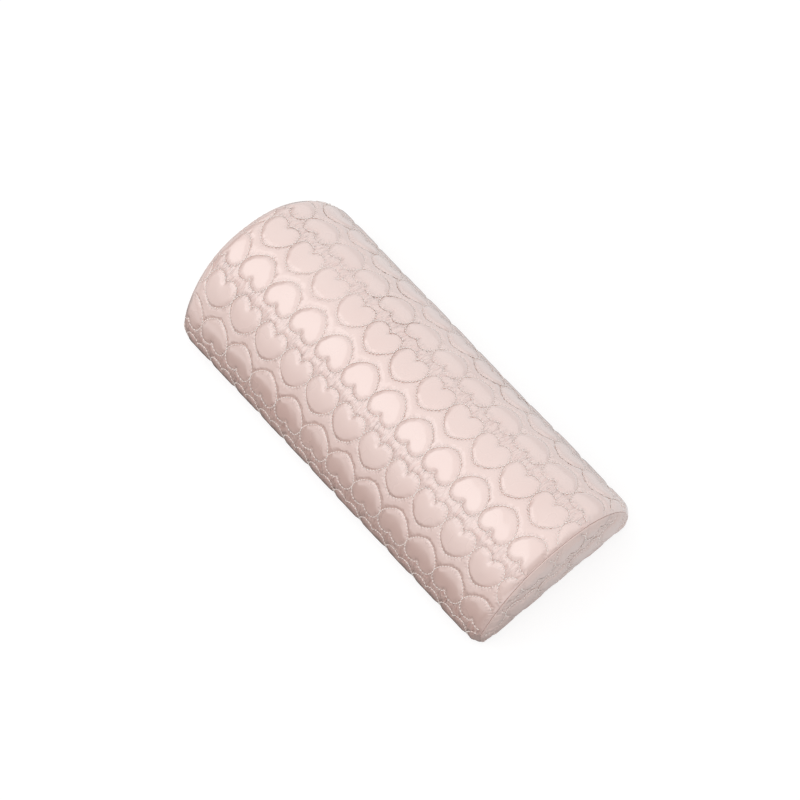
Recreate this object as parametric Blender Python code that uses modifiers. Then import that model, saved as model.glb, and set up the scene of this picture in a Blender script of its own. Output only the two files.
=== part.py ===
"""Half-round manicure hand rest: a heart-quilted cover, two quilted ends, a flat base and a foam core."""

import math

import bmesh
import bpy
import numpy as np
from mathutils import kdtree

# Overall cushion, in metres, +Z up, resting on z = 0. Length runs along X, between the end seams.
LENGTH = 0.300
WIDTH = 0.1326
HEIGHT = 0.0693
WALL_HEIGHT = 0.0150
WALL_TUCK = 0.0016
SHOULDER_POWER = 2.24
CROWN_POWER = 1.33

# Quilting: hearts in rows, tip to tip across a zigzag ribbon and lobe to lobe across a narrow band.
HEART_PITCH = 0.02595
HEART_TIP = 0.0137
HEART_LOBE = 0.0096
CLEFT_LEVEL = 0.62
RIBBON_DROP = 0.0160
BAND_WIDTH = 0.0052
COVER_ROW_SHIFT = -0.0044
COVER_COLUMN_SHIFT = -0.0015
END_ROW_LEVEL = 0.0162
END_COLUMN_SHIFT = -0.0065

# Relief of the quilting between the stitch lines.
HEART_PUFF = 0.0017
RIBBON_PUFF = 0.0012
BAND_PUFF = 0.0009
PUFF_EASE = 0.0008
GROOVE_WIDTH = 0.0017

# Panels and how they are drawn in at the seams.
COVER_THICKNESS = 0.0044
SEAM_DRAW = 0.0031
SEAM_REACH = 0.0105
FOOT_DRAW = 0.0011
END_RIM = 0.0010
END_BULGE = 0.0030
END_BULGE_REACH = 0.0280
BASE_THICKNESS = 0.0026
BASE_CORNER_RADIUS = 0.0085
BASE_EDGE_RADIUS = 0.0009
GAP = 0.0003

# The ends lean in towards the base, and the cushion is narrower at its right end than at its left.
END_LEAN = 0.0035
NARROWING = 0.030

COLUMN_FRACTIONS = (0.0, 0.08, 0.25, 0.42)
ARCH_FACETS = 30
RIM_FACETS = 48

HALF_WIDTH = WIDTH / 2
FOOT_LEVEL = BASE_THICKNESS + GAP
COVER_END = LENGTH / 2 - GAP / 2
ROW_GAP = HEART_TIP + RIBBON_DROP
ROW_PERIOD = ROW_GAP + 2 * HEART_LOBE + BAND_WIDTH


def clear_scene():
    for obj in list(bpy.data.objects):
        bpy.data.objects.remove(obj, do_unlink=True)


def arch_table():
    """Section at the stitch lines, front base edge to back: arc length, y, z and outward normal."""
    wall_z = np.linspace(-0.008, WALL_HEIGHT, 80)[:-1]
    wall_y = HALF_WIDTH - WALL_TUCK * (1 - wall_z / WALL_HEIGHT) ** 2
    sweep = np.linspace(0.0, math.pi, 481)
    crown_y = -HALF_WIDTH * np.sign(np.cos(sweep)) * np.abs(np.cos(sweep)) ** (2 / SHOULDER_POWER)
    crown_z = WALL_HEIGHT + (HEIGHT - WALL_HEIGHT) * np.sin(sweep) ** (2 / CROWN_POWER)
    y = np.concatenate([-wall_y, crown_y, wall_y[::-1]])
    z = np.concatenate([wall_z, crown_z, wall_z[::-1]])
    arc = np.concatenate([[0.0], np.cumsum(np.hypot(np.diff(y), np.diff(z)))])
    even = np.linspace(0.0, arc[-1], 600)
    y, z = np.interp(even, arc, y), np.interp(even, arc, z)
    slope_y, slope_z = np.gradient(y, even), np.gradient(z, even)
    size = np.hypot(slope_y, slope_z)
    return even, y, z, -slope_z / size, slope_y / size


ARC, ARC_Y, ARC_Z, NORMAL_Y, NORMAL_Z = arch_table()
ARC_MIDDLE = ARC[-1] / 2


def on_arch(arc, lift):
    """Points of the section at these arc lengths, lifted along the outward normal."""
    y = np.interp(arc, ARC, ARC_Y) + lift * np.interp(arc, ARC, NORMAL_Y)
    z = np.interp(arc, ARC, ARC_Z) + lift * np.interp(arc, ARC, NORMAL_Z)
    return y, z


def foot_arc(inset):
    """Arc length at which the front wall, moved inward by inset, meets the foot level."""
    near = np.linspace(0.0, ARC_MIDDLE * 0.5, 400)
    return float(np.interp(FOOT_LEVEL, on_arch(near, -inset)[1], near))


def arch_outline(inset, facets, sample_inset=None):
    """Closed half-round outline moved inward by inset, standing on the foot level."""
    start = foot_arc(inset if sample_inset is None else sample_inset)
    y, z = on_arch(np.linspace(start, 2 * ARC_MIDDLE - start, facets + 1), -inset)
    z[0] = z[-1] = FOOT_LEVEL
    return list(zip(y, z))


def tip_curve(offset):
    """Height of a heart's pointed side, 1 at its tip and 0 where it joins the next heart."""
    return (1 - offset**1.6) ** 0.65


def lobe_curve(offset):
    """Height of a heart's two lobes, with the cleft at offset 0."""
    arch = np.clip(1 - (2 * offset - 1) ** 2, 0.0, 1.0)
    return np.where(offset > 0.5, arch**0.5, CLEFT_LEVEL + (1 - CLEFT_LEVEL) * arch**0.75)


def columns(start, end, shift, edge_steps):
    """Places along a row, closer together at the joins, with extra ones beside each end."""
    first = math.floor((start - shift) / HEART_PITCH) - 1
    last = math.ceil((end - shift) / HEART_PITCH) + 1
    steps = [part + half for half in (0.0, 0.5) for part in COLUMN_FRACTIONS]
    places = [shift + HEART_PITCH * (k + part) for k in range(first, last) for part in steps]
    clear = edge_steps[-1] + 0.0012
    kept = [u for u in places if start + clear < u < end - clear]
    return np.array([start + d for d in edge_steps] + kept + [end - d for d in edge_steps[::-1]])


def heart_lines(u, middle, shift):
    """Lobe and tip lines of the row pointing up to middle, then tip and lobe lines of the next row."""
    phase = (u - shift) / HEART_PITCH
    lower = np.abs(phase % 1.0 - 0.5) * 2
    upper = np.abs((phase + 0.5) % 1.0 - 0.5) * 2
    low, high = middle - ROW_GAP / 2, middle + ROW_GAP / 2
    return (
        low - HEART_LOBE * lobe_curve(lower),
        low + HEART_TIP * tip_curve(lower),
        high - HEART_TIP * tip_curve(upper),
        high + HEART_LOBE * lobe_curve(upper),
    )


def row_middles(start, end, middle):
    first = math.floor((start - middle) / ROW_PERIOD) - 1
    last = math.ceil((end - middle) / ROW_PERIOD) + 1
    return [middle + ROW_PERIOD * k for k in range(first, last + 1)]


def stitch_tree(u_range, v_range, middle, shift):
    """Search tree of points along every stitch line."""
    u = np.arange(u_range[0] - 0.01, u_range[1] + 0.01, 0.0004)
    lines = [
        np.stack([u, line], axis=1)
        for centre in row_middles(*v_range, middle)
        for line in heart_lines(u, centre, shift)
    ]
    points = np.concatenate(lines)
    tree = kdtree.KDTree(len(points))
    for index, (along, across) in enumerate(points):
        tree.insert((along, across, 0.0), index)
    tree.balance()
    return tree


def quilted_sheet(u_range, v_range, middle, shift, edge_steps):
    """Flat sheet as rings of (along, across, puff) places that follow both sides of each stitch line."""
    u = columns(*u_range, shift, edge_steps)
    hold = np.ones_like(u)
    hold[: len(edge_steps)] = hold[-len(edge_steps) :] = 0.0
    low_end, high_end = v_range
    rings = [(u, np.full_like(u, low_end), 0.0)]

    def beside(line, slope, width):
        size = np.hypot(1.0, slope * hold)
        return u - width * slope * hold / size, line + width / size

    for centre in row_middles(*v_range, middle):
        lines = heart_lines(u, centre, shift)
        ahead, behind = heart_lines(u + 2e-5, centre, shift), heart_lines(u - 2e-5, centre, shift)
        slopes = [(a - b) / 4e-5 for a, b in zip(ahead, behind)]
        lobe_a, tip_a, tip_b, lobe_b = lines
        room_a, room_b = tip_a - lobe_a, lobe_b - tip_b
        heart_a, heart_b = HEART_PUFF * (room_a > 1e-5), HEART_PUFF * (room_b > 1e-5)
        wide_a, wide_b = np.minimum(GROOVE_WIDTH, 0.3 * room_a), np.minimum(GROOVE_WIDTH, 0.3 * room_b)
        deep_a = GROOVE_WIDTH * (1 + 1.4 * np.exp(-room_a / GROOVE_WIDTH))
        deep_b = GROOVE_WIDTH * (1 + 1.4 * np.exp(-room_b / GROOVE_WIDTH))
        next_lobe = heart_lines(u, centre + ROW_PERIOD, shift)[0]
        rings += [
            (u, lobe_a, 0.0),
            (*beside(lobe_a, slopes[0], wide_a), heart_a),
            (*beside(tip_a, slopes[1], -wide_a), heart_a),
            (u, tip_a, 0.0),
            (*beside(tip_a, slopes[1], deep_a), RIBBON_PUFF),
            (*beside(tip_b, slopes[2], -deep_b), RIBBON_PUFF),
            (u, tip_b, 0.0),
            (*beside(tip_b, slopes[2], wide_b), heart_b),
            (*beside(lobe_b, slopes[3], -wide_b), heart_b),
            (u, lobe_b, 0.0),
            (u, (lobe_b + next_lobe) / 2, BAND_PUFF),
        ]
    rings.append((u, np.full_like(u, high_end), 0.0))
    tree = stitch_tree(u_range, v_range, middle, shift)
    snap = GROOVE_WIDTH / 2
    sheet = []
    for along, across, puff in rings:
        across = np.where(across < low_end + snap, low_end, across)
        across = np.where(across > high_end - snap, high_end, across)
        along = np.where((across == low_end) | (across == high_end), u, along)
        reach = np.array([tree.find((a, b, 0.0))[2] for a, b in zip(along, across)])
        sheet.append(np.stack([along, across, puff * (1 - np.exp(-reach / PUFF_EASE))], axis=1))
    return np.array(sheet)


def drawn_in(distance, reach):
    """1 on a seam, easing to 0 at the reach, as a quarter ellipse."""
    span = np.clip(distance / reach, 0.0, 1.0)
    return 1 - np.sqrt(1 - (1 - span) ** 2)


def rise(distance, reach):
    span = np.clip(distance / reach, 0.0, 1.0)
    return span * span * (3 - 2 * span)


def sheet_faces(bm, points):
    """Faces of a grid of points. Places that fall together share one vertex. Returns the vertex grid."""
    made = {}

    def vertex(place):
        key = tuple(int(round(float(value) * 1e6)) for value in place)
        if key not in made:
            made[key] = bm.verts.new(place)
        return made[key]

    grid = [[vertex(place) for place in ring] for ring in points]
    for low, high in zip(grid, grid[1:]):
        for c in range(len(low) - 1):
            corners = list(dict.fromkeys([low[c], low[c + 1], high[c + 1], high[c]]))
            if len(corners) > 2:
                bm.faces.new(corners).smooth = True
    return grid


def settled(place):
    """A place of the straight cushion, moved to where the leaning ends and the narrowing put it."""
    x, y, z = place
    half_length = LENGTH / 2
    lean = 1 - END_LEAN * (1 - z / HEIGHT) / half_length
    return x * lean, y * (1 - NARROWING * x / half_length), z


def finish(bm, name, collection, material=None):
    """Object from a bmesh, settled, with outward normals, in the given collection."""
    for vertex in bm.verts:
        vertex.co = settled(vertex.co)
    bmesh.ops.recalc_face_normals(bm, faces=bm.faces)
    mesh = bpy.data.meshes.new(name)
    bm.to_mesh(mesh)
    bm.free()
    obj = bpy.data.objects.new(name, mesh)
    collection.objects.link(obj)
    if material:
        mesh.materials.append(material)
    else:
        obj.hide_render = True
        obj.display_type = "WIRE"
    return obj


def prism(name, outline, x_start, x_end, collection, material=None):
    """Solid with a (y, z) outline, from x_start to x_end."""
    bm = bmesh.new()
    near = [bm.verts.new((x_start, y, z)) for y, z in outline]
    far = [bm.verts.new((x_end, y, z)) for y, z in outline]
    bm.faces.new(near)
    bm.faces.new(far[::-1])
    count = len(outline)
    for i in range(count):
        j = (i + 1) % count
        face = bm.faces.new((near[i], near[j], far[j], far[i]))
        face.smooth = i < count - 1
    return finish(bm, name, collection, material)


def boolean(obj, other, operation):
    modifier = obj.modifiers.new(other.name, "BOOLEAN")
    modifier.operation = operation
    modifier.solver = "EXACT"
    modifier.object = other


def make_material(name, colour, roughness, coat=0.0):
    material = bpy.data.materials.new(name)
    material.use_nodes = True
    shader = material.node_tree.nodes["Principled BSDF"]
    shader.inputs["Base Color"].default_value = (*colour, 1.0)
    shader.inputs["Roughness"].default_value = roughness
    shader.inputs["Coat Weight"].default_value = coat
    shader.inputs["Coat Roughness"].default_value = 0.12
    material.diffuse_color = (*colour, 1.0)
    return material


def inside_outline(y, z, outline):
    """Whether each place lies within a closed outline, by counting the sides above it."""
    above = np.zeros(y.shape, int)
    for (ya, za), (yb, zb) in zip(outline, outline[1:] + outline[:1]):
        spans = (ya > y) != (yb > y)
        level = za + (y - ya) * (zb - za) / (yb - ya if yb != ya else 1.0)
        above += spans & (level > z)
    return above % 2 == 1


def make_cover(parts, cutters, material):
    """Quilted panel over the arch, open below, its relief outside and a plain arch inside."""
    start = foot_arc(0.0)
    across = (start, 2 * ARC_MIDDLE - start)
    steps = [SEAM_REACH * part for part in (0.0, 0.08, 0.3)]
    sheet = quilted_sheet(
        (-COVER_END, COVER_END), across, ARC_MIDDLE + COVER_ROW_SHIFT, COVER_COLUMN_SHIFT, steps
    )
    u, v, puff = sheet[..., 0], sheet[..., 1], sheet[..., 2]
    end_distance = COVER_END - np.abs(u)
    foot_distance = np.minimum(v - across[0], across[1] - v)
    draw = np.hypot(
        SEAM_DRAW * drawn_in(end_distance, SEAM_REACH), FOOT_DRAW * drawn_in(foot_distance, SEAM_REACH)
    )
    puff = puff * rise(end_distance, SEAM_REACH / 2) * rise(foot_distance, SEAM_REACH / 3)
    y, z = on_arch(v, puff - draw)
    z = np.where(foot_distance < 1e-7, FOOT_LEVEL, z)
    bm = bmesh.new()
    grid = sheet_faces(bm, np.stack([u, y, z], axis=2))
    for column in (0, -1):
        bm.faces.new(list(dict.fromkeys(ring[column] for ring in grid)))
    bm.faces.new(grid[0] + grid[-1][::-1])
    cover = finish(bm, "wrap_panel", parts, material)
    outline = arch_outline(COVER_THICKNESS, ARCH_FACETS)
    below = FOOT_LEVEL - 0.01
    outline = [(outline[0][0], below)] + outline + [(outline[-1][0], below)]
    bore = prism("wrap_bore", outline, -LENGTH / 2 - 0.01, LENGTH / 2 + 0.01, cutters)
    boolean(cover, bore, "DIFFERENCE")
    return cover


def make_end(name, side, parts, cutters, material):
    """Half-round end panel, flat inside and bulged and quilted outside."""
    margin = 0.003
    half = HALF_WIDTH + margin
    outline = arch_outline(SEAM_DRAW, RIM_FACETS)
    edge = kdtree.KDTree(20 * len(outline))
    for index, (a, b) in enumerate(zip(outline, outline[1:] + outline[:1])):
        for part in range(20):
            mix = part / 20
            place = (a[0] + mix * (b[0] - a[0]), a[1] + mix * (b[1] - a[1]), 0.0)
            edge.insert(place, index * 20 + part)
    edge.balance()
    sheet = quilted_sheet(
        (-half, half), (FOOT_LEVEL - margin, HEIGHT + margin), END_ROW_LEVEL, END_COLUMN_SHIFT, [0.0]
    )
    y, z, puff = sheet[..., 0], sheet[..., 1], sheet[..., 2]
    rim = np.array([[edge.find((a, b, 0.0))[2] for a, b in zip(*ring)] for ring in zip(y, z)])
    rim = np.where(inside_outline(y, z, outline), rim, 0.0)
    inner = LENGTH / 2 + GAP / 2
    bulge = END_BULGE * (1 - (1 - np.clip(rim / END_BULGE_REACH, 0.0, 1.0)) ** 2)
    x = inner + END_RIM + bulge + puff * rise(rim, SEAM_REACH / 2)
    bm = bmesh.new()
    grid = sheet_faces(bm, np.stack([side * x, y, z], axis=2))
    top = grid[0] + [ring[-1] for ring in grid[1:-1]] + grid[-1][::-1]
    top = list(dict.fromkeys(top + [ring[0] for ring in grid[-2:0:-1]]))
    floor = [bm.verts.new((side * inner, v.co.y, v.co.z)) for v in top]
    for i in range(len(top)):
        j = (i + 1) % len(top)
        bm.faces.new((top[i], top[j], floor[j], floor[i]))
    bm.faces.new(floor)
    panel = finish(bm, name, parts, material)
    shape = prism(name + "_shape", outline, side * (inner - 0.004), side * (inner + 0.03), cutters)
    boolean(panel, shape, "INTERSECT")
    return panel


def make_base(parts, material):
    """Flat base panel with rounded corners and eased edges."""
    half_x = LENGTH / 2 + GAP / 2 + END_RIM
    half_y = HALF_WIDTH - WALL_TUCK - FOOT_DRAW
    bm = bmesh.new()
    bmesh.ops.create_cube(bm, size=1.0)
    for v in bm.verts:
        v.co.x *= 2 * half_x
        v.co.y *= 2 * half_y
        v.co.z = (v.co.z + 0.5) * BASE_THICKNESS
    upright = [e for e in bm.edges if abs(e.verts[0].co.z - e.verts[1].co.z) > BASE_THICKNESS / 2]
    bmesh.ops.bevel(bm, geom=upright, offset=BASE_CORNER_RADIUS, segments=6, profile=0.5, affect="EDGES")
    base = finish(bm, "base_panel", parts, material)
    bevel = base.modifiers.new("edge", "BEVEL")
    bevel.width = BASE_EDGE_RADIUS
    bevel.segments = 3
    bevel.limit_method = "ANGLE"
    bevel.angle_limit = math.radians(60)
    return base


def make_core(parts, material):
    """Foam filling, a half-round block that fits inside the panels."""
    outline = arch_outline(COVER_THICKNESS + GAP, ARCH_FACETS, COVER_THICKNESS)
    return prism("foam_core", outline, -COVER_END, COVER_END, parts, material)


def main():
    clear_scene()
    parts = bpy.data.collections.new("manicure_hand_rest")
    cutters = bpy.data.collections.new("hand_rest_cutters")
    for collection in (parts, cutters):
        bpy.context.scene.collection.children.link(collection)
    cutters.hide_render = True
    wrap = make_material("pale_pink_leatherette", (0.80, 0.62, 0.57), 0.34, 0.5)
    ends = make_material("pale_pink_leatherette_ends", (0.76, 0.60, 0.55), 0.38, 0.4)
    under = make_material("pink_base_cloth", (0.72, 0.56, 0.52), 0.7)
    foam = make_material("white_foam", (0.90, 0.88, 0.82), 0.9)
    make_cover(parts, cutters, wrap)
    make_end("end_panel_right", 1, parts, cutters, ends)
    make_end("end_panel_left", -1, parts, cutters, ends)
    make_base(parts, under)
    make_core(parts, foam)


main()
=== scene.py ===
"""Dressed scene of the half-round manicure hand rest: quilted panels, stitches, light and camera."""

import math

import bpy
import numpy as np
from mathutils import Matrix, Vector, kdtree, noise


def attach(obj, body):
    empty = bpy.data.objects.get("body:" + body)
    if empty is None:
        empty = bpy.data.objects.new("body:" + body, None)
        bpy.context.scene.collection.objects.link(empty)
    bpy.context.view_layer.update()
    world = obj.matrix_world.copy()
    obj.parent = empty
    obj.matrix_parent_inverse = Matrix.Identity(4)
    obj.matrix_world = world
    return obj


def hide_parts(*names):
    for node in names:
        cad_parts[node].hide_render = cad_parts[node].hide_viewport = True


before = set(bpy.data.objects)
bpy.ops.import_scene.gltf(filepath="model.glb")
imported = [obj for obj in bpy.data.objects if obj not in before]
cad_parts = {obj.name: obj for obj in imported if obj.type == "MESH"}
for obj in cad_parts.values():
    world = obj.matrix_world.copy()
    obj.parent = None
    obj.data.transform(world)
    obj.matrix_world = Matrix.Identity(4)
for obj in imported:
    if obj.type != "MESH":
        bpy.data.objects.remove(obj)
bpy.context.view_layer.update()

# The source's sizes, in metres.
LENGTH = 0.300
WIDTH = 0.1326
HEIGHT = 0.0693
WALL_HEIGHT = 0.0150
WALL_TUCK = 0.0016
SHOULDER_POWER = 2.24
CROWN_POWER = 1.33
HEART_PITCH = 0.02595
HEART_TIP = 0.0137
HEART_LOBE = 0.0096
CLEFT_LEVEL = 0.62
RIBBON_DROP = 0.0160
BAND_WIDTH = 0.0052
COVER_ROW_SHIFT = -0.0044
COVER_COLUMN_SHIFT = -0.0015
END_ROW_LEVEL = 0.0162
END_COLUMN_SHIFT = -0.0065
SEAM_DRAW = 0.0031
SEAM_REACH = 0.0105
FOOT_DRAW = 0.0011
END_RIM = 0.0010
END_BULGE = 0.0030
END_BULGE_REACH = 0.0280
BASE_THICKNESS = 0.0026
BASE_CORNER_RADIUS = 0.0085
GAP = 0.0003
END_LEAN = 0.0035
NARROWING = 0.030

HALF_WIDTH = WIDTH / 2
FOOT_LEVEL = BASE_THICKNESS + GAP
SEAM_GAP = 0.00008
COVER_END = LENGTH / 2 - SEAM_GAP / 2
END_FACE = LENGTH / 2 + SEAM_GAP / 2
ROW_GAP = HEART_TIP + RIBBON_DROP
ROW_PERIOD = ROW_GAP + 2 * HEART_LOBE + BAND_WIDTH

# Simulated cloth sheet between its stitch lines: grid, size in the simulation, frames, pressure and fullness.
SHEET_COLUMNS = 10
SHEET_RINGS = (12, 8, 12, 5)
SHEET_SCALE = 20.0
SHEET_FRAMES = 12
SHEET_PRESSURE = 4.0
SHEET_FULLNESS = 0.03

# Grids of the dressed panels: columns in half a pitch, rings between stitch lines, places near the end seams.
COVER_COLUMNS = 15
COVER_RINGS = (19, 13, 19, 9)
COVER_EDGE = np.array([0.0, 0.0001, 0.0004, 0.0009, 0.0015, 0.0023, 0.0032])
COVER_MARGIN = 0.004
END_RINGS = 96
END_SPREAD = 1.25
END_ARCH_PLACES = 230
END_BASE_PLACES = 126

# Relief of the dressed panels. Three values are for a heart, the zigzag ribbon and the band.
HEART_PUFF = 0.0010
RIBBON_PUFF = 0.0006
BAND_PUFF = 0.0005
UNEVEN_PUFF = 0.10
FLAT_LIFT = (0.0012, 0.0007, 0.0005)
FLAT_REACH = 0.0030
PUFF_DOME = 0.16
RIPPLE_DEPTH = (0.00014, 0.00024, 0.00050)
RIPPLE_PLACE = 0.0011
RUN_JUMP = 0.0018
WAVER = 0.00012
SAG = 0.0005
COVER_PUCKER = 0.0005
END_PUCKER = 0.0008
COVER_THICKNESS = 0.0016
FOOT_FOLD = 0.0025
STITCH_PITCH = 0.0023
STITCH_LENGTH = 0.0018
THREAD_RADIUS = 0.00034
THREAD_LIFT = 0.00046
STITCH_CLEAR_OF_SEAM = 0.0016
STITCH_CLEAR_OF_FOOT = 0.0012
STITCH_CLEAR_OF_RIM = 0.0022
STITCH_CLEAR_OF_SIDE = 0.004

# Colours and camera.
# The second colour of each leatherette gives its random mottle of tone and also the painted shade by the
# stitch lines and in the crimp valleys.
SKIN, SKIN_MOTTLE_AND_SHADE = (0.83, 0.60, 0.54), (0.75, 0.47, 0.41)
SATIN, SATIN_MOTTLE_AND_SHADE = (0.78, 0.59, 0.54), (0.70, 0.50, 0.45)
# Painted shade of the needle holes, which the mesh does not have.
NEEDLE_HOLE_SHADE = (0.62, 0.40, 0.34)
SKIN_COAT_IOR = 2.5
CRIMP_STRETCH = (800.0, 150.0, 150.0)
CAMERA_PLACE = (0.440961, -0.304077, 1.111002)
CAMERA_FORWARD = (-0.367157, 0.252999, -0.895091)
CAMERA_DOWN = (0.672522, -0.592580, -0.443355)
FOCAL_LENGTH = 84.857

# Brightness of the sky and floor. Each ramp is an axis, a span along it and the levels at its two ends.
TENT = ((0.0, 0.6, 1.0), (-0.74, 0.78), (0.52, 1.28))
TENT_ENDS = ((0.55, 1.0), (1.0, 0.4))
WASH = ((0.0, -1.0, 0.0), (-1.0, 1.0), (0.65, 1.08))
FLOOR_CARDS = (
    ((0.0, 1.0, 0.0), (0.02, 0.13), (0.02, 1.0)),
    ((1.0, 0.6, 0.0), (0.08, 0.20), (0.02, 0.9)),
    ((0.0, -1.0, 0.0), (0.12, 0.46), (0.02, 0.55)),
    ((-1.0, 0.0, 0.0), (0.13, 0.26), (0.02, 0.75)),
)
FLOOR_REACH = 4.0
FLOOR_GLOW = 1.27
GLOW_SHARE = 0.60


def arch_table():
    """Section at the stitch lines, front base edge to back: arc length, y, z and outward normal."""
    wall_z = np.linspace(-0.008, WALL_HEIGHT, 80)[:-1]
    wall_y = HALF_WIDTH - WALL_TUCK * (1 - wall_z / WALL_HEIGHT) ** 2
    sweep = np.linspace(0.0, math.pi, 481)
    crown_y = -HALF_WIDTH * np.sign(np.cos(sweep)) * np.abs(np.cos(sweep)) ** (2 / SHOULDER_POWER)
    crown_z = WALL_HEIGHT + (HEIGHT - WALL_HEIGHT) * np.sin(sweep) ** (2 / CROWN_POWER)
    y = np.concatenate([-wall_y, crown_y, wall_y[::-1]])
    z = np.concatenate([wall_z, crown_z, wall_z[::-1]])
    arc = np.concatenate([[0.0], np.cumsum(np.hypot(np.diff(y), np.diff(z)))])
    even = np.linspace(0.0, arc[-1], 600)
    y, z = np.interp(even, arc, y), np.interp(even, arc, z)
    slope_y, slope_z = np.gradient(y, even), np.gradient(z, even)
    size = np.hypot(slope_y, slope_z)
    return even, y, z, -slope_z / size, slope_y / size


ARC, ARC_Y, ARC_Z, NORMAL_Y, NORMAL_Z = arch_table()
ARC_MIDDLE = ARC[-1] / 2


def on_arch(arc, lift):
    y = np.interp(arc, ARC, ARC_Y) + lift * np.interp(arc, ARC, NORMAL_Y)
    z = np.interp(arc, ARC, ARC_Z) + lift * np.interp(arc, ARC, NORMAL_Z)
    return y, z


def foot_arc(inset):
    near = np.linspace(0.0, ARC_MIDDLE * 0.5, 400)
    return float(np.interp(FOOT_LEVEL, on_arch(near, -inset)[1], near))


def tip_curve(offset):
    return (1 - offset**1.6) ** 0.65


def lobe_curve(offset):
    arch = np.clip(1 - (2 * offset - 1) ** 2, 0.0, 1.0)
    return np.where(offset > 0.5, arch**0.5, CLEFT_LEVEL + (1 - CLEFT_LEVEL) * arch**0.75)


def heart_lines(u, middle, shift):
    """Lobe and tip lines of the row pointing up to middle, then tip and lobe lines of the next row."""
    phase = (u - shift) / HEART_PITCH
    lower = np.clip(np.abs(phase % 1.0 - 0.5) * 2, 0.0, 1.0)
    upper = np.clip(np.abs((phase + 0.5) % 1.0 - 0.5) * 2, 0.0, 1.0)
    low, high = middle - ROW_GAP / 2, middle + ROW_GAP / 2
    return (
        low - HEART_LOBE * lobe_curve(lower),
        low + HEART_TIP * tip_curve(lower),
        high - HEART_TIP * tip_curve(upper),
        high + HEART_LOBE * lobe_curve(upper),
    )


def settled(points):
    """Places of the straight cushion, moved to where the leaning ends and the narrowing put them."""
    x, y, z = points[..., 0], points[..., 1], points[..., 2]
    half_length = LENGTH / 2
    lean = 1 - END_LEAN * (1 - z / HEIGHT) / half_length
    return np.stack([x * lean, y * (1 - NARROWING * x / half_length), z], axis=-1)


def half_steps(count):
    """Fractions of half a pitch, closer together at the joins."""
    return 0.25 * (1 - np.cos(np.pi * np.arange(count) / count))


def pitch_columns(start, end, shift, count):
    first = math.floor((start - shift) / HEART_PITCH) - 1
    last = math.ceil((end - shift) / HEART_PITCH) + 1
    steps = np.concatenate([half_steps(count), 0.5 + half_steps(count)])
    places = (shift + HEART_PITCH * (np.arange(first, last)[:, None] + steps)).ravel()
    return places[(places > start) & (places < end)]


def eased(count):
    """Fractions from 0 to 1, without either, closer together at both."""
    return 0.5 * (1 - np.cos(np.pi * np.arange(1, count) / count))


class Quilting:
    """Stitch lines of one panel, with the nearest place on them for any place of the panel."""

    def __init__(self, u_range, v_range, middle, shift):
        self.middle, self.shift = middle, shift
        u = pitch_columns(u_range[0] - 0.01, u_range[1] + 0.01, shift, 50)
        first = math.floor((v_range[0] - middle) / ROW_PERIOD) - 1
        last = math.ceil((v_range[1] - middle) / ROW_PERIOD) + 1
        self.middles = [middle + ROW_PERIOD * k for k in range(first, last + 1)]
        self.lines = [np.stack([u, line]) for m in self.middles for line in heart_lines(u, m, shift)]
        points, runs, ways = [], [], []
        for line in self.lines:
            step = np.hypot(*np.diff(line, axis=1))
            runs.append(np.concatenate([[0.0], np.cumsum(step)]))
            way = np.gradient(line, axis=1)
            ways.append(way / np.maximum(np.hypot(*way), 1e-12))
            points.append(line)
        self.points = np.concatenate(points, axis=1)
        self.runs = np.concatenate(runs)
        self.ways = np.concatenate(ways, axis=1)
        self.line_runs = runs
        self.tree = kdtree.KDTree(self.points.shape[1])
        for index in range(self.points.shape[1]):
            self.tree.insert((self.points[0, index], self.points[1, index], 0.0), index)
        self.tree.balance()

    def nearest(self, u, v):
        """Distance to the nearest stitch line and the run along it."""
        found = np.array([self.tree.find((a, b, 0.0))[1] for a, b in zip(u.ravel(), v.ravel())])
        away = np.stack([u.ravel(), v.ravel()]) - self.points[:, found]
        along = (away * self.ways[:, found]).sum(axis=0)
        square = (away**2).sum(axis=0) - np.minimum(np.abs(along), 0.0002) ** 2
        return np.sqrt(np.maximum(square, 0.0)).reshape(u.shape), (self.runs[found] + along).reshape(u.shape)

    def region(self, u, v):
        """0 in a heart, 1 in the zigzag ribbon, 2 in the band, and a number for each heart."""
        turn = np.floor((v - self.middle) / ROW_PERIOD + 0.5)
        lobe_a, tip_a, tip_b, lobe_b = heart_lines(u, 0.0, self.shift)
        level = v - self.middle - turn * ROW_PERIOD
        heart = ((level > lobe_a) & (level < tip_a)) | ((level > tip_b) & (level < lobe_b))
        ribbon = (level >= tip_a) & (level <= tip_b)
        half = np.where(level > 0, 0.5, 0.0)
        column = np.floor((u - self.shift) / HEART_PITCH + half)
        number = (turn * 2 + (level > 0)) * 37.0 + column
        return np.where(heart, 0, np.where(ribbon, 1, 2)), number


def hashed(number, seed):
    """A repeatable value from -1 to 1 for each number."""
    return (np.sin(number * 12.9898 + seed * 78.233) * 43758.5453) % 1.0 * 2 - 1


def wander(a, b, seed):
    """Smooth repeatable noise of two arrays of coordinates."""
    flat = [noise.noise((x, y, seed)) for x, y in zip(a.ravel(), b.ravel())]
    return np.array(flat).reshape(a.shape)


def merged(points):
    """Where each point of a grid is in a list without repeats, and the grid places of that list."""
    made, order, index = {}, [], np.empty(points.shape[:2], int)
    keys = np.round(points * 2e6).astype(int)
    for r in range(points.shape[0]):
        for c in range(points.shape[1]):
            key = tuple(keys[r, c])
            if key not in made:
                made[key] = len(order)
                order.append((r, c))
            index[r, c] = made[key]
    return index, *np.array(order).T


def grid_faces(index):
    faces = []
    for r in range(index.shape[0] - 1):
        for c in range(index.shape[1] - 1):
            corners = (index[r, c], index[r, c + 1], index[r + 1, c + 1], index[r + 1, c])
            corners = list(dict.fromkeys(int(i) for i in corners))
            if len(corners) > 2:
                faces.append(corners)
    return faces


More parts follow.
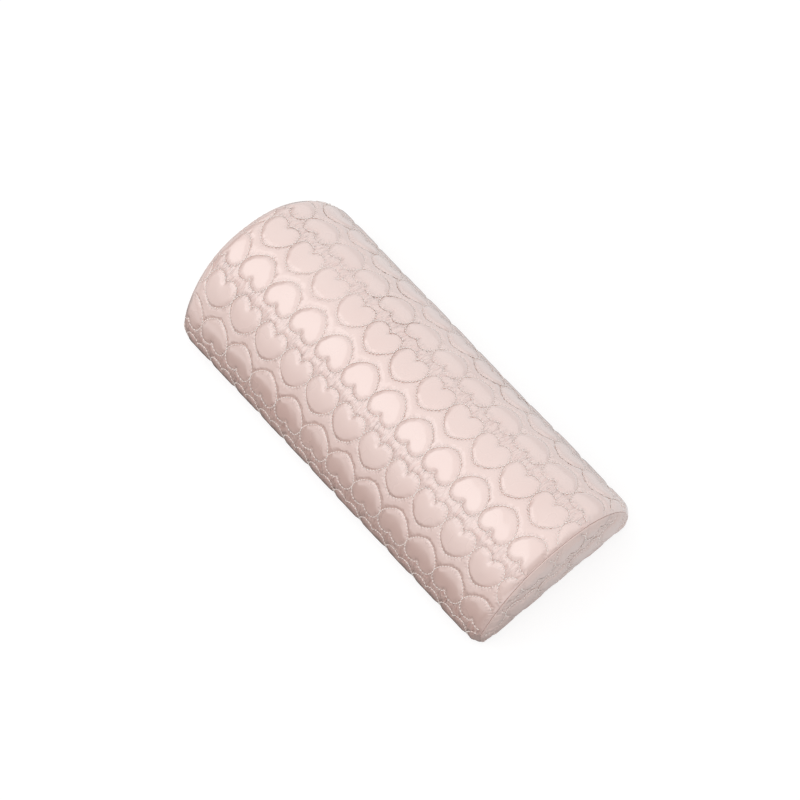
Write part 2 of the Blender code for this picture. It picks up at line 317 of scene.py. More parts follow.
class SewnSheet:
    """Cloth sheet with more cloth than backing, held on its stitch lines and blown up between them."""

    def __init__(self, quilting, u_range, v_range, seed):
        self.quilting, self.lift = quilting, None
        inner = pitch_columns(u_range[0] + 0.0005, u_range[1] - 0.0005, quilting.shift, SHEET_COLUMNS)
        self.u = np.concatenate([[u_range[0]], inner, [u_range[1]]])
        rings, sewn = [], []
        for middle in quilting.middles:
            lines = heart_lines(self.u, middle, quilting.shift)
            following = heart_lines(self.u, middle + ROW_PERIOD, quilting.shift)[0]
            for low, high, count in zip(lines, (*lines[1:], following), SHEET_RINGS):
                rings += [low] + [low + (high - low) * part for part in eased(count)]
                sewn += [True] + [False] * (count - 1)
        v = np.clip(np.array(rings), *v_range)
        flat = np.stack([np.broadcast_to(self.u, v.shape), v, np.zeros_like(v)], axis=2)
        index, rows, cols = merged(flat)
        held = np.zeros(len(rows), bool)
        held[index[np.array(sewn)].ravel()] = True
        held[index[:, [0, -1]].ravel()] = True
        points = flat[rows, cols]
        held |= (points[:, 1] <= v_range[0]) | (points[:, 1] >= v_range[1])
        start = 0.0002 + 0.0001 * wander(points[:, 0] / 0.004, points[:, 1] / 0.004, seed)
        points[:, 2] = np.where(held, 0.0, start)
        self.lift = self.blown(points, grid_faces(index), held)[index]

    @staticmethod
    def blown(points, faces, held):
        """Lift of each point once the pressure has filled the sheet."""
        scene = bpy.context.scene
        mesh = bpy.data.meshes.new("sewn_sheet")
        mesh.from_pydata((points * SHEET_SCALE).tolist(), [], faces)
        sheet = bpy.data.objects.new("sewn_sheet", mesh)
        scene.collection.objects.link(sheet)
        group = sheet.vertex_groups.new(name="sewn")
        group.add([int(i) for i in np.flatnonzero(held)], 1.0, "REPLACE")
        cloth = sheet.modifiers.new("cloth", "CLOTH")
        cloth.point_cache.frame_start, cloth.point_cache.frame_end = 1, SHEET_FRAMES
        cloth.collision_settings.use_collision = False
        settings = cloth.settings
        settings.quality = 4
        settings.mass = 0.3
        settings.tension_stiffness = settings.compression_stiffness = 20
        settings.shear_stiffness = 10
        settings.bending_stiffness = 0.3
        settings.effector_weights.gravity = 0.0
        settings.vertex_group_mass = "sewn"
        settings.use_pressure = True
        settings.uniform_pressure_force = SHEET_PRESSURE
        settings.shrink_min = -SHEET_FULLNESS
        for step in range(1, SHEET_FRAMES + 1):
            scene.frame_set(step)
        shaped = sheet.evaluated_get(bpy.context.evaluated_depsgraph_get())
        places = np.empty(len(points) * 3)
        shaped.data.vertices.foreach_get("co", places)
        scene.frame_set(1)
        bpy.data.objects.remove(sheet)
        bpy.data.meshes.remove(mesh)
        return np.maximum(places[2::3] / SHEET_SCALE, 0.0)

    def sample(self, u, v, away):
        """Lift of the cloth at any places, smooth between its own points but not over a stitch line."""
        if self.lift is None:
            return 0.0016 * np.sqrt(np.clip(away / 0.006, 0.0, 1.0))
        turn = np.floor((v - self.quilting.middle) / ROW_PERIOD + 0.5)
        level = v - self.quilting.middle - turn * ROW_PERIOD
        lobe_a, tip_a, tip_b, lobe_b = heart_lines(u, 0.0, self.quilting.shift)
        stops = np.stack([lobe_b - ROW_PERIOD, lobe_a, tip_a, tip_b, lobe_b, lobe_a + ROW_PERIOD])
        strip = np.clip((level >= stops[1:]).sum(axis=0), 0, 4)
        low, high = (np.take_along_axis(stops, (strip + k)[None], axis=0)[0] for k in (0, 1))
        part = np.clip((level - low) / np.maximum(high - low, 1e-9), 0.0, 1.0)
        counts = np.array([SHEET_RINGS[3], *SHEET_RINGS])[strip]
        before = np.cumsum([-SHEET_RINGS[3], SHEET_RINGS[3], *SHEET_RINGS[:3]])[strip]
        rows_before = round((self.quilting.middles[0] - self.quilting.middle) / ROW_PERIOD)
        first = (turn - rows_before) * sum(SHEET_RINGS)
        low_ring = (first + before).astype(int)
        ring = np.arccos(1 - 2 * part) / math.pi * counts
        column = np.interp(u, self.u, np.arange(len(self.u)))
        ring_step = np.minimum(ring.astype(int), counts - 1)
        column_step = np.minimum(column.astype(int), len(self.u) - 2)
        total = 0.0
        for k, ring_weight in enumerate(spline_weights(ring - ring_step)):
            rows = low_ring + np.clip(ring_step + k - 1, 0, counts)
            rows = np.clip(rows, 0, self.lift.shape[0] - 1)
            for j, column_weight in enumerate(spline_weights(column - column_step)):
                cols = np.clip(column_step + j - 1, 0, len(self.u) - 1)
                total = total + ring_weight * column_weight * self.lift[rows, cols]
        return np.maximum(total, 0.0)


def spline_weights(t):
    """Weights of four neighbouring points on a smooth curve that passes through them."""
    return (
        0.5 * (-t + 2 * t**2 - t**3),
        0.5 * (2 - 5 * t**2 + 3 * t**3),
        0.5 * (t + 4 * t**2 - 3 * t**3),
        0.5 * (-(t**2) + t**3),
    )


def drawn_in(distance, reach):
    """1 at a seam, falling round to 0 at reach from it."""
    span = np.clip(distance / reach, 0.0, 1.0)
    return 1 - np.sqrt(1 - (1 - span) ** 2)


def rise(distance, reach):
    """0 at a seam or stitch line, rising smoothly to 1 at reach from it."""
    span = np.clip(distance / reach, 0.0, 1.0)
    return span * span * (3 - 2 * span)


def steady(run):
    """1 where the nearest stitch line is the same all round a place of the grid, otherwise 0."""
    changed = np.zeros(run.shape, bool)
    for axis in (0, 1):
        jump = np.abs(run - np.roll(run, 1, axis)) > RUN_JUMP
        changed |= jump | np.roll(jump, -1, axis)
    for axis in (0, 1):
        changed |= np.roll(changed, 1, axis) | np.roll(changed, -1, axis)
    return np.where(changed, 0.0, 1.0)


def relief(quilting, sheet, u, v, seed):
    """Height of the quilted leatherette over its stitch lines, and the layers for its material."""
    away, run = quilting.nearest(u, v)
    region, number = quilting.region(u, v)
    heart_puff = HEART_PUFF * (1 + UNEVEN_PUFF * hashed(number, seed))
    most = np.choose(region, [heart_puff, RIBBON_PUFF, BAND_PUFF])
    lift = sheet.sample(u, v, away)
    full = np.clip(np.maximum(lift / np.choose(region, FLAT_LIFT), away / FLAT_REACH), 0.0, 1.0)
    height = most * (0.45 * full + 0.55 * full**2 * (3 - 2 * full)) + PUFF_DOME * lift
    ripple = wander(run / 0.0014, away / 0.006, seed + 3.0)
    ripple = ripple - 0.35 * np.cos(2 * math.pi * run / STITCH_PITCH)
    near = np.exp(-(((away - RIPPLE_PLACE) / RIPPLE_PLACE) ** 2))
    depth = np.choose(region, RIPPLE_DEPTH)
    same = steady(run)
    height = height + depth * near * ripple * same
    ladder = (0.2 + 0.8 * rise(away, 0.0010)) * (1 - rise(away - 0.0012, 0.0020)) * same
    height = height + WAVER * rise(away, 0.003) * wander(u / 0.007, v / 0.007, seed + 9.0)
    turn = (v - quilting.middle) / ROW_PERIOD
    band = 1 - rise(np.abs(turn - np.floor(turn) - 0.5) * ROW_PERIOD - 0.0034, 0.0040)
    layers = {"away_mm": away * 1000, "run_mm": run * 1000, "ladder": ladder, "band": band}
    return np.maximum(height, 0.0) * (away > 2e-6), layers


def padded_layers(layers, pads):
    """The layers with their outer rows and columns repeated, for the folds that a panel's grid gets."""
    return {name: np.pad(values, pads, mode="edge") for name, values in layers.items()}


def mesh_object(name, points, faces):
    """Smooth object from points of the straight cushion, moved to where they settle."""
    mesh = bpy.data.meshes.new(name)
    mesh.from_pydata(settled(points).tolist(), [], faces)
    mesh.polygons.foreach_set("use_smooth", [True] * len(mesh.polygons))
    obj = bpy.data.objects.new(name, mesh)
    bpy.context.scene.collection.objects.link(obj)
    return obj


def grid_mesh(name, points, layers):
    """Object from a grid of points, with places that fall together made one, and float layers."""
    index, rows, cols = merged(points)
    obj = mesh_object(name, points[rows, cols], grid_faces(index))
    obj.data.validate()
    for layer, values in layers.items():
        attribute = obj.data.attributes.new(layer, "FLOAT", "POINT")
        attribute.data.foreach_set("value", values[rows, cols].astype(np.float32))
    return obj


def cover_draw(u, v, start):
    """How far the cover is drawn in at its end seams and along its feet."""
    end_distance = COVER_END - np.abs(u)
    foot_distance = np.minimum(v - start, 2 * ARC_MIDDLE - start - v)
    draw = np.hypot(
        SEAM_DRAW * drawn_in(end_distance, SEAM_REACH), FOOT_DRAW * drawn_in(foot_distance, SEAM_REACH)
    )
    return draw, end_distance, foot_distance


def make_cover():
    """The long panel over the arch, with its end lips and the folds under its two feet."""
    start = foot_arc(0.0)
    stop = 2 * ARC_MIDDLE - start
    u_range, v_range = (-COVER_END, COVER_END), (start, stop)
    quilting = Quilting(u_range, v_range, ARC_MIDDLE + COVER_ROW_SHIFT, COVER_COLUMN_SHIFT)
    margin = COVER_END - COVER_MARGIN
    edge = COVER_END - COVER_EDGE
    u = np.concatenate([-edge, pitch_columns(-margin, margin, quilting.shift, COVER_COLUMNS), edge[::-1]])
    rings = [np.full_like(u, start)]
    for middle in quilting.middles:
        lines = heart_lines(u, middle, quilting.shift)
        following = heart_lines(u, middle + ROW_PERIOD, quilting.shift)[0]
        for low, high, count in zip(lines, (*lines[1:], following), COVER_RINGS):
            rings += [low] + [low + (high - low) * part for part in eased(count)]
    rings.append(np.full_like(u, stop))
    v = np.array(rings)
    v = np.where(v < start + 0.0002, start, np.where(v > stop - 0.0002, stop, v))
    used = [i for i in range(1, len(v) - 1) if (v[i] > start).any() and (v[i] < stop).any()]
    v = v[[0] + used + [len(v) - 1]]
    u = np.broadcast_to(u, v.shape)
    sheet = SewnSheet(quilting, u_range, v_range, 1.0)
    height, layers = relief(quilting, sheet, u, v, 1.0)
    draw, end_distance, foot_distance = cover_draw(u, v, start)
    height = height * rise(end_distance, SEAM_REACH / 2) * rise(foot_distance, SEAM_REACH / 3)
    pucker = wander(v / 0.0021, u / 0.012, 21.0) * np.exp(-end_distance / 0.0035)
    height += COVER_PUCKER * pucker * rise(end_distance, 0.0012)
    sag = SAG * wander(u / 0.055, v / 0.045, 31.0) * rise(end_distance, 0.03) * rise(foot_distance, 0.02)
    y, z = on_arch(v, height + sag - draw)
    z = np.where(foot_distance < 1e-7, FOOT_LEVEL, z)
    points = np.stack([u, y, z], axis=2)
    lip_y, lip_z = on_arch(v[:, [0, -1]], -draw[:, [0, -1]] - COVER_THICKNESS)
    lip_z = np.maximum(lip_z, FOOT_LEVEL)
    lips = np.stack([u[:, [0, -1]], lip_y, lip_z], axis=2)
    points = np.concatenate([lips[:, :1], points, lips[:, 1:]], axis=1)
    feet = points[[0, -1]] - np.array([0.0, FOOT_FOLD, 0.0]) * np.sign(points[[0, -1], :, 1:2])
    points = np.concatenate([feet[:1], points, feet[1:]])
    cover = grid_mesh("quilted_cover", points, padded_layers(layers, ((1, 1), (1, 1))))
    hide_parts("wrap_panel")
    return cover, quilting, start


def end_outline():
    """Rim of an end panel, about 1 mm apart, from the front foot over the arch and back along the base."""
    start = foot_arc(SEAM_DRAW)
    y, z = on_arch(np.linspace(start, 2 * ARC_MIDDLE - start, END_ARCH_PLACES), -SEAM_DRAW)
    z[0] = z[-1] = FOOT_LEVEL
    back = np.linspace(y[-1], y[0], END_BASE_PLACES)[1:-1]
    return np.stack([np.concatenate([y, back]), np.concatenate([z, np.full_like(back, FOOT_LEVEL)])], axis=1)


def rim_tree(outline):
    """Search tree of the rim, with four places for each step of the outline."""
    tree = kdtree.KDTree(4 * len(outline))
    for index in range(4 * len(outline)):
        a, b = outline[index // 4], outline[(index // 4 + 1) % len(outline)]
        place = a + (b - a) * (index % 4) / 4
        tree.insert((place[0], place[1], 0.0), index)
    tree.balance()
    return tree


def rim_distance(tree, y, z):
    found = [tree.find((a, b, 0.0))[2] for a, b in zip(y.ravel(), z.ravel())]
    return np.array(found).reshape(y.shape)


def end_bulge(rim):
    """How far an end panel bulges at this distance from its rim."""
    span = np.clip(rim / END_BULGE_REACH, 0.0, 1.0)
    return END_BULGE * (1 - (1 - span) ** 2)


def make_end(name, side, node, seed):
    """A half-round end panel on rings that shrink from its rim to a point, with a lip inside the rim."""
    outline = end_outline()
    centre = np.array([0.0, FOOT_LEVEL + 0.024])
    tree = rim_tree(outline)
    part = 1 - (np.arange(END_RINGS) / (END_RINGS - 1)) ** END_SPREAD
    spread = centre + part[:, None, None] * (outline - centre)
    spread = np.concatenate([spread, spread[:, :1]], axis=1)
    y, z = spread[..., 0], spread[..., 1]
    rim = rim_distance(tree, y, z)
    rim[0] = 0.0
    y_range, z_range = (-HALF_WIDTH, HALF_WIDTH), (0.0, HEIGHT)
    quilting = Quilting(y_range, z_range, END_ROW_LEVEL, END_COLUMN_SHIFT)
    sheet = SewnSheet(quilting, y_range, z_range, seed)
    height, layers = relief(quilting, sheet, y, z, seed)
    lift = END_RIM * np.sqrt(1 - (1 - np.clip(rim / END_RIM, 0.0, 1.0)) ** 2)
    angle = np.broadcast_to(np.arange(y.shape[1]) * 0.45, y.shape)
    pucker = wander(angle, rim / 0.012, seed + 40.0) * np.exp(-rim / 0.006) * rise(rim, 0.002)
    sag = SAG * wander(y / 0.03, z / 0.03, seed + 50.0) * rise(rim, 0.015)
    x = END_FACE + lift + end_bulge(rim) + height * rise(rim, SEAM_REACH / 2) + END_PUCKER * pucker + sag
    points = np.stack([side * x, y, z], axis=2)
    lip = centre + 0.955 * (spread[:1] - centre)
    lip = np.concatenate([np.full_like(lip[..., :1], side * END_FACE), lip], axis=2)
    points = np.concatenate([lip, points])
    layers = padded_layers(layers, ((1, 0), (0, 0)))
    if side < 0:
        points, layers = points[:, ::-1], {name: values[:, ::-1] for name, values in layers.items()}
    panel = grid_mesh(name, points, layers)
    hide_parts(node)
    return panel, quilting, tree


def stitch_shape():
    """A short bowed length of thread, pointed at both ends: vertices along x and faces."""
    sides, stations = 6, (-0.40, -0.15, 0.15, 0.40)
    vertices = [(-0.5, 0.0, -1.7)]
    for place in stations:
        thick = 1.0 if abs(place) < 0.2 else 0.85
        drop = -1.9 * (2 * place) ** 2 * 0.55
        for k in range(sides):
            turn = 2 * math.pi * k / sides
            vertices.append((place, thick * math.cos(turn), drop + thick * math.sin(turn)))
    vertices.append((0.5, 0.0, -1.7))
    faces = []
    for k in range(sides):
        j = (k + 1) % sides
        faces.append((0, 1 + j, 1 + k))
        for s in range(len(stations) - 1):
            a, b = 1 + s * sides, 1 + (s + 1) * sides
            faces.append((a + k, a + j, b + j, b + k))
        last = 1 + (len(stations) - 1) * sides
        faces.append((last + k, last + j, len(vertices) - 1))
    return np.array(vertices), faces


def cover_places(start):
    """A function that gives the point, normal and use of stitch places on the cover."""

    def placed(u, v):
        draw, end_distance, foot_distance = cover_draw(u, v, start)
        y, z = on_arch(v, -draw)
        normal = np.stack([u * 0, np.interp(v, ARC, NORMAL_Y), np.interp(v, ARC, NORMAL_Z)], axis=1)
        kept = (end_distance > STITCH_CLEAR_OF_SEAM) & (foot_distance > STITCH_CLEAR_OF_FOOT)
        return np.stack([u, y, z], axis=1), normal, kept

    return placed


def end_places(side, tree):
    """A function that gives the point, normal and use of stitch places on an end panel."""
    arch_y, arch_z = end_outline()[:END_ARCH_PLACES].T

    def placed(y, z):
        rim = rim_distance(tree, y, z)
        x = END_FACE + END_RIM + end_bulge(rim)
        inside = (z < np.interp(y, arch_y, arch_z)) & (z > FOOT_LEVEL)
        kept = inside & (rim > STITCH_CLEAR_OF_RIM) & (np.abs(y) < HALF_WIDTH - STITCH_CLEAR_OF_SIDE)
        normal = np.tile([float(side), 0.0, 0.0], (len(y), 1))
        return np.stack([side * x, y, z], axis=1), normal, kept

    return placed


def make_stitches(name, quilting, placed, panel):
    """Every stitch of a panel as thread. placed gives the point, normal and use of each place."""
    shape, shape_faces = stitch_shape()
    vertices, faces = [], []
    for line, run in zip(quilting.lines, quilting.line_runs):
        stops = np.arange(STITCH_PITCH / 2, run[-1], STITCH_PITCH)
        ends = [np.array([np.interp(stops + d, run, line[0]), np.interp(stops + d, run, line[1])])
                for d in (-0.0006, 0.0, 0.0006)]
        (before, _, _), (middle, normal, kept), (after, _, _) = (placed(*e) for e in ends)
        for k in np.flatnonzero(kept):
            way = after[k] - before[k]
            way /= np.linalg.norm(way)
            up = normal[k] - way * normal[k].dot(way)
            up /= np.linalg.norm(up)
            across = np.cross(up, way)
            jitter = 1 + 0.08 * float(hashed(np.array(k + 17.0), 2.0))
            local = (
                shape[:, :1] * STITCH_LENGTH * jitter * way
                + shape[:, 1:2] * THREAD_RADIUS * across
                + shape[:, 2:] * THREAD_RADIUS * up
            )
            base = len(vertices) * len(shape)
            vertices.append(middle[k] + THREAD_LIFT * up + local)
            faces += [tuple(base + i for i in face) for face in shape_faces]
    thread = mesh_object(name, np.concatenate(vertices), faces)
    thread.parent = panel
    return thread


def make_base():
    """Flat base panel with soft edges and a stitched hem groove underneath."""
    half_x, half_y = LENGTH / 2 + GAP / 2 + END_RIM, HALF_WIDTH - WALL_TUCK - FOOT_DRAW
    radius = BASE_CORNER_RADIUS
    ring = []
    for sx, sy, turn in ((1, -1, -90), (1, 1, 0), (-1, 1, 90), (-1, -1, 180)):
        for k in range(9):
            angle = math.radians(turn + 90 * k / 8)
            ring.append((sx * (half_x - radius), sy * (half_y - radius), math.cos(angle), math.sin(angle)))
    corner = []
    for a, b in zip(ring, ring[1:] + ring[:1]):
        far = math.hypot(b[0] - a[0], b[1] - a[1])
        steps = max(1, int(far / 0.003))
        for k in range(steps):
            mix = k / steps
            corner.append([p + (q - p) * mix for p, q in zip(a, b)])
    corner = np.array(corner)
    top, low = BASE_THICKNESS, 0.0
    profile = [
        (0.0060, top), (0.0012, top), (0.0005, top * 0.95), (0.0001, top * 0.78), (0.0, top * 0.5),
        (0.0001, top * 0.24), (0.0005, top * 0.06), (0.0012, low), (0.0040, low), (0.0044, 0.0003),
        (0.0048, 0.0003), (0.0052, low), (0.0100, low),
    ]
    rows = []
    for inset, z in profile:
        size = max(radius - inset, 0.0004)
        place = corner[:, :2] + size * corner[:, 2:]
        rows.append(np.column_stack([place, np.full(len(place), z)]))
    rows.insert(0, np.column_stack([corner[:, :2] * 0.5, np.full(len(corner), top)]))
    rows.append(np.column_stack([corner[:, :2] * 0.5, np.full(len(corner), low)]))
    grid = np.array(rows)
    grid = np.concatenate([grid, grid[:, :1]], axis=1)[:, ::-1]
    index, rows, cols = merged(grid)
    count, total = grid.shape[1] - 1, len(rows)
    caps = [list(range(count - 1, -1, -1)), list(range(total - count, total))]
    base = mesh_object("base_cloth_panel", grid[rows, cols], grid_faces(index) + caps)
    for cap in list(base.data.polygons)[-len(caps):]:
        cap.use_smooth = False
    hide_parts("base_panel")
    return base


class Graph:
    """Nodes and links of a material or of the world. A value is a number, a colour, a vector or a socket."""

    def __init__(self, tree):
        self.nodes, self.links = tree.nodes, tree.links

    def feed(self, value, socket):
        if isinstance(value, bpy.types.NodeSocket):
            self.links.new(value, socket)
        else:
            socket.default_value = value

    def add(self, kind, values=None, **settings):
        node = self.nodes.new(kind)
        for key, value in settings.items():
            setattr(node, key, value)
        for key, value in (values or {}).items():
            self.feed(value, node.inputs[key])
        return node

    def math(self, operation, *values):
        node = self.add("ShaderNodeMath", dict(enumerate(values)), operation=operation)
        return node.outputs["Value"]

    def mapped(self, value, span, levels, kind="LINEAR"):
        """Value taken from span to levels, and held at them outside span."""
        ends = {"From Min": span[0], "From Max": span[1], "To Min": levels[0], "To Max": levels[1]}
        node = self.add("ShaderNodeMapRange", {"Value": value, **ends}, interpolation_type=kind)
        return node.outputs["Result"]

    def smooth(self, value, span, levels=(0.0, 1.0)):
        return self.mapped(value, span, levels, "SMOOTHSTEP")

    def ramp(self, vector, axis, span, levels):
        """A level that rises smoothly along an axis of a vector."""
        along = self.add("ShaderNodeVectorMath", {0: vector, 1: axis}, operation="DOT_PRODUCT")
        return self.smooth(along.outputs["Value"], span, levels)

    def by_ray(self, camera, glossy, other):
        """A value by what sees it: the camera, a reflection or refraction, or diffuse light."""
        path = self.add("ShaderNodeLightPath").outputs
        shiny = self.math("MAXIMUM", path["Is Glossy Ray"], path["Is Transmission Ray"])
        mirrored = self.mapped(shiny, (0.0, 1.0), (other, glossy))
        return self.mapped(path["Is Camera Ray"], (0.0, 1.0), (mirrored, camera))

    def mix(self, amount, first, second):
        """Colour between two colours, given as three numbers or a socket."""
        first, second = ((*c, 1.0) if isinstance(c, tuple) else c for c in (first, second))
        node = self.add("ShaderNodeMix", data_type="RGBA")
        for place, value in ((0, amount), (6, first), (7, second)):
            self.feed(value, node.inputs[place])
        return node.outputs[2]

    def bump(self, height, strength, distance, normal=None, invert=False):
        values = {"Strength": strength, "Distance": distance, "Height": height}
        if normal is not None:
            values["Normal"] = normal
        return self.add("ShaderNodeBump", values, invert=invert).outputs["Normal"]

    def coordinates(self, kind="Object"):
        return self.add("ShaderNodeTexCoord").outputs[kind]


def new_material(name, colour, roughness):
    material = bpy.data.materials.new(name)
    material.use_nodes = True
    graph = Graph(material.node_tree)
    shader = graph.nodes["Principled BSDF"]
    shader.inputs["Base Color"].default_value = (*colour, 1.0)
    shader.inputs["Roughness"].default_value = roughness
    return material, graph, shader


def leatherette(name, colour, deep, roughness, coat, coat_roughness, gloss):
    """Glossy fine-grained leatherette, puckered, with a random mottle of tone and with painted shade along
    the stitch lines, in the crimp valleys of the bands and in the needle holes.
    """
    material, graph, shader = new_material(name, colour, roughness)
    shader.inputs["Coat Weight"].default_value = coat
    shader.inputs["Coat Roughness"].default_value = coat_roughness
    shader.inputs["Coat IOR"].default_value = SKIN_COAT_IOR
    shader.inputs["Specular IOR Level"].default_value = gloss
    place = graph.coordinates()
    away, run, ladder, band = (
        graph.add("ShaderNodeAttribute", attribute_name=layer).outputs["Fac"]
        for layer in ("away_mm", "run_mm", "ladder", "band")
    )

    cloud = graph.add(
        "ShaderNodeTexNoise", {"Vector": place, "Scale": 28.0, "Detail": 3.0, "Roughness": 0.55}
    )
    shade = graph.mapped(cloud.outputs["Fac"], (0.3, 0.7), (0.0, 0.35))
    # Painted shade: the colour is made slightly darker within about 1 mm of each stitch line, for the shade
    # in the groove there.
    painted_line_shade = graph.smooth(away, (0.1, 1.2), (0.05, 0.0))
    stretched = graph.add("ShaderNodeVectorMath", {0: place, 1: CRIMP_STRETCH}, operation="MULTIPLY")
    crimps = graph.add(
        "ShaderNodeTexNoise",
        {"Vector": stretched.outputs["Vector"], "Scale": 1.0, "Detail": 1.0, "Roughness": 0.4},
    ).outputs["Fac"]
    # Painted shade: the colour is made darker in the valleys of the crimp noise across the bands, for the
    # shade in those valleys.
    painted_crimp_shade = graph.math("MULTIPLY", graph.mapped(crimps, (0.35, 0.55), (0.8, 0.0)), band)
    # One mix amount: the leather's random mottle of tone, from the noise called shade, and the painted shade
    # of the lines and crimps.
    mottle_and_painted_shade = graph.math("MAXIMUM", shade, graph.math("MAXIMUM", painted_crimp_shade, painted_line_shade))
    # Painted shade: dark spots on the line between stitches, for the shade inside needle holes that the mesh
    # does not have.
    beat = graph.math("COSINE", graph.math("MULTIPLY", run, 2 * math.pi / (STITCH_PITCH * 1000)))
    pierced = graph.smooth(away, (0.1, 0.5), (0.25, 0.0))
    painted_hole_shade = graph.math("MULTIPLY", graph.smooth(beat, (0.35, 0.9)), pierced)
    # The base colour carries the mottle and the painted shade of the lines, crimps and needle holes.
    colour_with_mottle_and_painted_shade = graph.mix(mottle_and_painted_shade, colour, deep)
    graph.feed(graph.mix(painted_hole_shade, colour_with_mottle_and_painted_shade, NEEDLE_HOLE_SHADE), shader.inputs["Base Color"])
    rough = graph.mapped(mottle_and_painted_shade, (0.0, 0.75), (roughness - 0.03, roughness + 0.10))
    graph.feed(rough, shader.inputs["Roughness"])

    grain = graph.add("ShaderNodeTexVoronoi", {"Vector": place, "Scale": 1500.0}, feature="F1")
    normal = graph.bump(grain.outputs["Distance"], 0.22, 0.00006)
    normal = graph.bump(graph.math("MULTIPLY", crimps, band), 1.0, 0.0016, normal)
    normal = graph.bump(graph.math("MULTIPLY", beat, ladder), 1.0, 0.00020, normal, invert=True)
    graph.feed(normal, shader.inputs["Normal"])
    return material


def thread_material():
    """Twisted thread with a soft shine."""
    material, graph, shader = new_material("pale_thread", (0.96, 0.86, 0.81), 0.35)
    twist = graph.add(
        "ShaderNodeTexWave",
        {"Vector": graph.coordinates(), "Scale": 900.0, "Distortion": 1.5},
        bands_direction="DIAGONAL",
    )
    graph.feed(graph.bump(twist.outputs["Fac"], 0.4, 0.00005), shader.inputs["Normal"])
    shader.inputs["Sheen Weight"].default_value = 0.25
    shader.inputs["Coat Weight"].default_value = 0.8
    shader.inputs["Coat Roughness"].default_value = 0.2
    shader.inputs["Coat IOR"].default_value = 2.0
    return material


def cloth_material():
    """Fine woven base cloth."""
    material, graph, shader = new_material("pink_base_cloth", (0.66, 0.50, 0.46), 0.8)
    place = graph.coordinates()
    warp, weft = (
        graph.add(
            "ShaderNodeTexWave", {"Vector": place, "Scale": 260.0, "Distortion": 0.6}, bands_direction=way
        ).outputs["Fac"]
        for way in "XY"
    )
    weave = graph.math("MAXIMUM", warp, weft)
    graph.feed(graph.mix(weave, (0.56, 0.42, 0.38), (0.70, 0.54, 0.50)), shader.inputs["Base Color"])
    graph.feed(graph.bump(weave, 0.5, 0.00012), shader.inputs["Normal"])
    shader.inputs["Sheen Weight"].default_value = 0.3
    return material


def foam_material():
    """Open-celled off-white foam."""
    material, graph, shader = new_material("white_foam", (0.88, 0.85, 0.78), 0.95)
    cells = graph.add(
        "ShaderNodeTexVoronoi", {"Vector": graph.coordinates(), "Scale": 900.0}, feature="F1"
    ).outputs["Distance"]
    graph.feed(graph.mix(cells, (0.80, 0.76, 0.68), (0.92, 0.90, 0.84)), shader.inputs["Base Color"])
    graph.feed(graph.bump(cells, 0.6, 0.0004), shader.inputs["Normal"])
    return material


def area_light(name, place, target, size, radiance):
    """Soft rectangular lamp of the given brightness, aimed at target."""
    light = bpy.data.lights.new(name, "AREA")
    light.shape = "RECTANGLE"
    light.size, light.size_y = size
    light.energy = radiance * math.pi * size[0] * size[1]
    obj = bpy.data.objects.new(name, light)
    bpy.context.scene.collection.objects.link(obj)
    obj.location = place
    obj.rotation_euler = (Vector(target) - Vector(place)).to_track_quat("-Z", "Y").to_euler()


def make_sky():
    """Soft light all round, with a brighter top in reflections."""
    world = bpy.data.worlds.new("studio")
    bpy.context.scene.world = world
    world.use_nodes = True
    graph = Graph(world.node_tree)
    back = graph.nodes["Background"]
    back.inputs["Color"].default_value = (1.0, 1.0, 1.0, 1.0)
    sky = graph.coordinates("Generated")
    tent = graph.ramp(sky, *TENT)
    for side in (-1.0, 1.0):
        tent = graph.math("MULTIPLY", tent, graph.ramp(sky, (side, 0.0, 0.0), *TENT_ENDS))
    graph.feed(graph.by_ray(1.0, tent, graph.ramp(sky, *WASH)), back.inputs["Strength"])


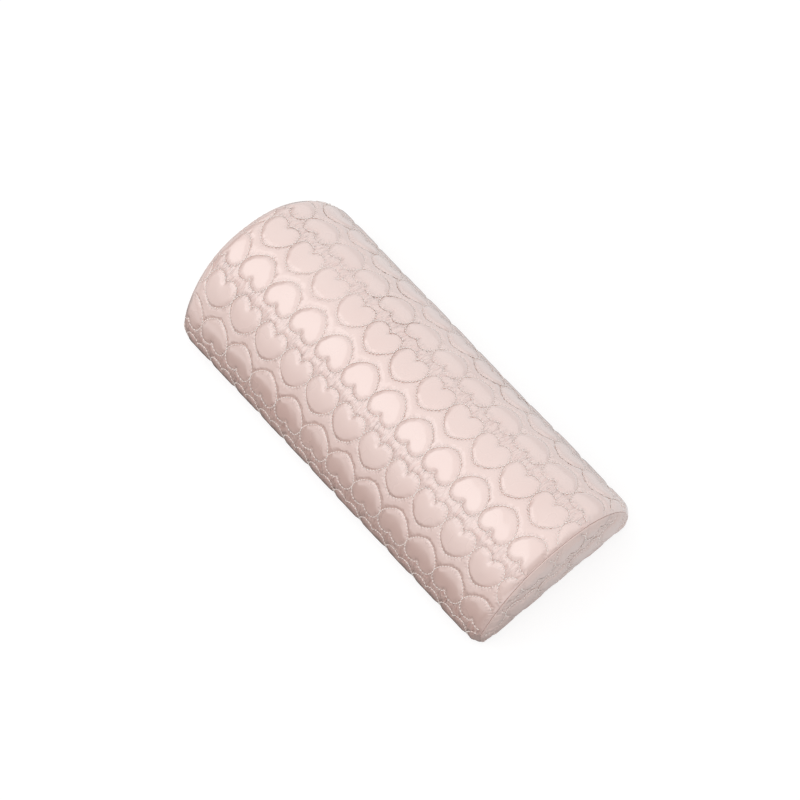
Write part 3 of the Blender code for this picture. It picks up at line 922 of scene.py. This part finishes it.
def make_floor():
    """White floor that keeps a soft shadow, with its own brightness in reflections."""
    mesh = bpy.data.meshes.new("studio_floor")
    corners = [(-FLOOR_REACH, -FLOOR_REACH, 0), (FLOOR_REACH, -FLOOR_REACH, 0),
               (FLOOR_REACH, FLOOR_REACH, 0), (-FLOOR_REACH, FLOOR_REACH, 0)]
    mesh.from_pydata(corners, [], [(0, 1, 2, 3)])
    floor = bpy.data.objects.new("studio_floor", mesh)
    bpy.context.scene.collection.objects.link(floor)
    floor.location.z = -0.0002
    material, graph, shader = new_material("studio_white", (0.40, 0.40, 0.40), 0.9)
    shader.inputs["Specular IOR Level"].default_value = 0.0
    graph.feed(graph.by_ray(0.8, 0.4, 0.4), shader.inputs["Base Color"])
    place = graph.coordinates()
    card = graph.ramp(place, *FLOOR_CARDS[0])
    for spot in FLOOR_CARDS[1:]:
        card = graph.math("MAXIMUM", card, graph.ramp(place, *spot))
    glow = graph.add(
        "ShaderNodeEmission", {"Color": (1.0, 1.0, 1.0, 1.0), "Strength": graph.by_ray(FLOOR_GLOW, card, 0.0)}
    )
    blend = graph.add(
        "ShaderNodeMixShader",
        {0: graph.by_ray(GLOW_SHARE, 1.0, 0.0), 1: shader.outputs["BSDF"], 2: glow.outputs["Emission"]},
    )
    graph.feed(blend.outputs["Shader"], graph.nodes["Material Output"].inputs["Surface"])
    mesh.materials.append(material)


def make_stage():
    make_sky()
    make_floor()
    area_light("key_panel", (-0.55, -0.52, 1.31), (0.0, 0.0, 0.06), (1.4, 1.0), 0.28)
    bpy.context.scene.view_settings.view_transform = "Standard"


def make_camera():
    """The photo's own view: the cushion's length runs from the upper left to the lower right."""
    camera = bpy.data.cameras.new("photo_camera")
    obj = bpy.data.objects.new("photo_camera", camera)
    bpy.context.scene.collection.objects.link(obj)
    forward = Vector(CAMERA_FORWARD).normalized()
    down = Vector(CAMERA_DOWN)
    down = (down - forward * down.dot(forward)).normalized()
    right = down.cross(forward)
    turn = Matrix((right, -down, -forward)).transposed().to_4x4()
    obj.matrix_world = Matrix.Translation(CAMERA_PLACE) @ turn
    camera.sensor_width = 36.0
    camera.lens = FOCAL_LENGTH
    camera.clip_end = 20.0
    bpy.context.scene.camera = obj


def main():
    make_camera()
    cover, cover_quilting, start = make_cover()
    right, right_quilting, right_rim = make_end("quilted_end_right", 1, "end_panel_right", 5.0)
    left, left_quilting, left_rim = make_end("quilted_end_left", -1, "end_panel_left", 7.0)
    base = make_base()
    threads = [
        make_stitches("cover_stitches", cover_quilting, cover_places(start), cover),
        make_stitches("end_stitches_right", right_quilting, end_places(1, right_rim), right),
        make_stitches("end_stitches_left", left_quilting, end_places(-1, left_rim), left),
    ]
    skin = leatherette("glossy_leatherette", SKIN, SKIN_MOTTLE_AND_SHADE, 0.28, 1.0, 0.08, 1.0)
    satin = leatherette("satin_leatherette", SATIN, SATIN_MOTTLE_AND_SHADE, 0.45, 0.6, 0.25, 0.6)
    thread, cloth, foam = thread_material(), cloth_material(), foam_material()
    for piece in (cover, right, left):
        piece.data.materials.append(skin if piece is cover else satin)
    for piece in threads:
        piece.data.materials.append(thread)
    base.data.materials.append(cloth)
    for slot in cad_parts["foam_core"].material_slots:
        slot.material = foam
    for piece in (cover, right, left, base):
        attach(piece, "root")
    make_stage()


main()
